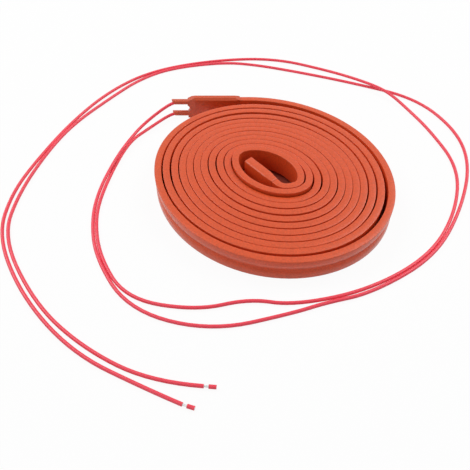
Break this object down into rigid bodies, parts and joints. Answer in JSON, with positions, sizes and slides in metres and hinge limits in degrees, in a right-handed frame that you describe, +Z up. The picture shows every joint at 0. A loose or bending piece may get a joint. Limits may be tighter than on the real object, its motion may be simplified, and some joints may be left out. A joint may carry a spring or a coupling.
{
  "type": "silicone heater strip",
  "caption": "Flat silicone rubber heating belt wound on edge into a loose oval coil, with a moulded terminal cover and thin free leads, for warming moulds, dies and press tooling",
  "frame": {"origin": "middle of the coil's footprint on the floor, leads left out", "axes": "+Z up through the coil, +X along the tail from the terminal cover towards the coil, +Y from the front of the coil to the tail at its back"},
  "size_m": [0.2817, 0.2835, 0.0168],
  "materials": {
    "belt_rubber": "satin silicone, terracotta",
    "cover_rubber": "moulded silicone, darker terracotta",
    "lead_rubber": "smooth extruded silicone, red",
    "crimp_metal": "tinned brass, plain",
    "link_wire": "nickel-plated wire",
    "tinned_wire": "tinned stranded copper"
  },
  "bodies": {
    "root": {"heating_belt": "belt_rubber", "end_cover": "cover_rubber", "terminal_cover": "cover_rubber", "return_link": "link_wire", "return_crimp_lower": "crimp_metal", "return_crimp_upper": "crimp_metal", "lead_crimp_lower": "crimp_metal", "lead_crimp_upper": "crimp_metal", "lead_lower": "lead_rubber", "lead_upper": "lead_rubber", "conductor_root_lower": "tinned_wire", "conductor_root_upper": "tinned_wire", "conductor_tip_lower": "tinned_wire", "conductor_tip_upper": "tinned_wire", "tip_slug_lower": "lead_rubber", "tip_slug_upper": "lead_rubber"}
  },
  "joints": []
}
